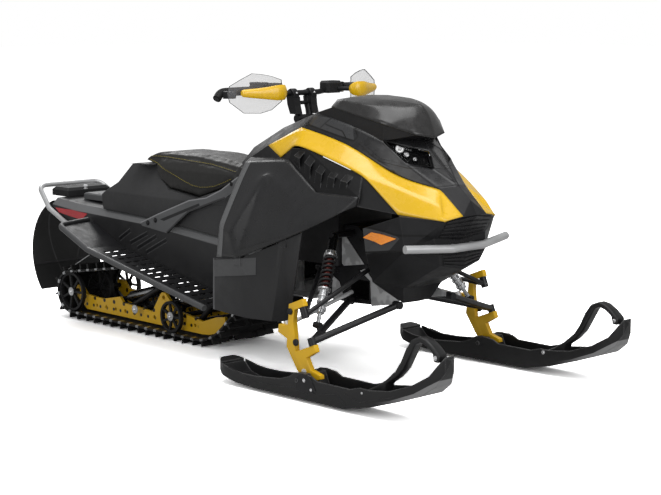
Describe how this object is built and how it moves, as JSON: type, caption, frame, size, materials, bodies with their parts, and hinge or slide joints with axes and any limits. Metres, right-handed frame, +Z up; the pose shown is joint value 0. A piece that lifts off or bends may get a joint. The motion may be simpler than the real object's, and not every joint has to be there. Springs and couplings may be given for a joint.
{
  "type": "snowmobile",
  "caption": "Trail snowmobile with faceted yellow and charcoal bodywork, steered skis on open arms, one looped track, bench seat and handlebar.",
  "frame": {"origin": "on the ground in the middle of the length and width", "axes": "+X forwards to the ski tips, +Y to the rider's left, +Z up"},
  "size_m": [2.93, 1.15, 1.179],
  "materials": {
    "track_rubber": "moulded",
    "black_plastic": "matt",
    "dark_panel": "satin",
    "yellow_panel": "gloss",
    "yellow_paint": "satin",
    "black_paint": "satin",
    "charcoal_paint": "satin",
    "grey_paint": "satin",
    "cast_grey": "cast",
    "steel": "brushed",
    "silver_tube": "satin",
    "seat_cover": "soft",
    "grip_rubber": "soft",
    "red_lens": "lens",
    "orange_lens": "lens",
    "clear_lens": "clear",
    "tinted_screen": "smoked",
    "clear_guard": "clear",
    "engine_grey": "cast"
  },
  "bodies": {
    "chassis": {"idler_wheels": "black_plastic", "track": "track_rubber", "slide_rail_right": "yellow_paint", "slide_rail_left": "yellow_paint", "skid_arms": "black_paint", "skid_dampers": "steel", "drive_axle": "black_plastic", "tunnel": "charcoal_paint", "running_board_right": "black_paint", "running_board_left": "black_paint", "rear_bumper": "silver_tube", "snow_flap": "track_rubber", "tail_lamp": "black_plastic", "tail_plinth": "grey_paint", "reflectors": "red_lens", "seat": "seat_cover", "seat_base": "black_plastic", "frame_braces": "grey_paint", "console": "black_plastic", "over_frame": "black_paint", "fairing_right": "yellow_panel", "fairing_left": "yellow_panel", "hood": "dark_panel", "lamp_sockets": "black_plastic", "headlamps": "clear_lens", "nose": "black_plastic", "belly_pan": "black_plastic", "side_panel_right": "dark_panel", "side_panel_left": "dark_panel", "lower_panel_right": "black_plastic", "lower_panel_left": "black_plastic", "side_vents": "black_plastic", "windscreen": "tinted_screen", "windscreen_trim": "black_plastic", "front_bumper": "silver_tube", "side_markers": "orange_lens", "bulkhead": "black_paint", "engine_tray": "cast_grey", "engine": "engine_grey", "lower_arms": "black_paint", "upper_arms": "black_paint", "front_dampers": "steel", "front_springs": "black_paint", "frame_plates": "cast_grey"},
    "steering": {"handlebar": "black_paint", "grips": "grip_rubber", "guard_brackets": "yellow_panel", "guard_shields": "clear_guard", "controls": "black_plastic"},
    "spindle_right": {"spindle_right": "yellow_paint"},
    "ski_right": {"ski_right": "black_plastic", "ski_runner_right": "steel", "ski_handle_right": "black_plastic"},
    "tie_rod_right": {"tie_rod_right": "silver_tube"},
    "spindle_left": {"spindle_left": "yellow_paint"},
    "ski_left": {"ski_left": "black_plastic", "ski_runner_left": "steel", "ski_handle_left": "black_plastic"},
    "tie_rod_left": {"tie_rod_left": "silver_tube"}
  },
  "joints": [
    {"name": "steering_turn", "type": "hinge", "parent": "chassis", "child": "steering", "pos_m": [0.204, 0, 0.989], "axis": [-0.3007, 0, 0.9537], "range_deg": [-35, 35]},
    {"name": "spindle_turn_right", "type": "hinge", "parent": "chassis", "child": "spindle_right", "pos_m": [0.755, -0.505, 0.271], "axis": [-0.3635, 0, 0.9316], "range_deg": [-28.5, 28.5]},
    {"name": "ski_pitch_right", "type": "hinge", "parent": "spindle_right", "child": "ski_right", "pos_m": [0.765, -0.505, 0.08], "axis": [0, -1, 0], "range_deg": [-8, 15]},
    {"name": "tie_rod_swing_right", "type": "hinge", "parent": "spindle_right", "child": "tie_rod_right", "pos_m": [0.618, -0.479, 0.256], "axis": [-0.3635, 0, 0.9316], "range_deg": [-28.5, 28.5]},
    {"name": "spindle_turn_left", "type": "hinge", "parent": "chassis", "child": "spindle_left", "pos_m": [0.755, 0.505, 0.271], "axis": [-0.3635, 0, 0.9316], "range_deg": [-28.5, 28.5]},
    {"name": "ski_pitch_left", "type": "hinge", "parent": "spindle_left", "child": "ski_left", "pos_m": [0.765, 0.505, 0.08], "axis": [0, -1, 0], "range_deg": [-8, 15]},
    {"name": "tie_rod_swing_left", "type": "hinge", "parent": "spindle_left", "child": "tie_rod_left", "pos_m": [0.618, 0.479, 0.256], "axis": [-0.3635, 0, 0.9316], "range_deg": [-28.5, 28.5]}
  ],
  "couplings": [
    {"joint": "spindle_turn_right", "follows": "steering_turn", "ratio": 0.8},
    {"joint": "tie_rod_swing_right", "follows": "steering_turn", "ratio": -0.8},
    {"joint": "spindle_turn_left", "follows": "steering_turn", "ratio": 0.8},
    {"joint": "tie_rod_swing_left", "follows": "steering_turn", "ratio": -0.8}
  ]
}
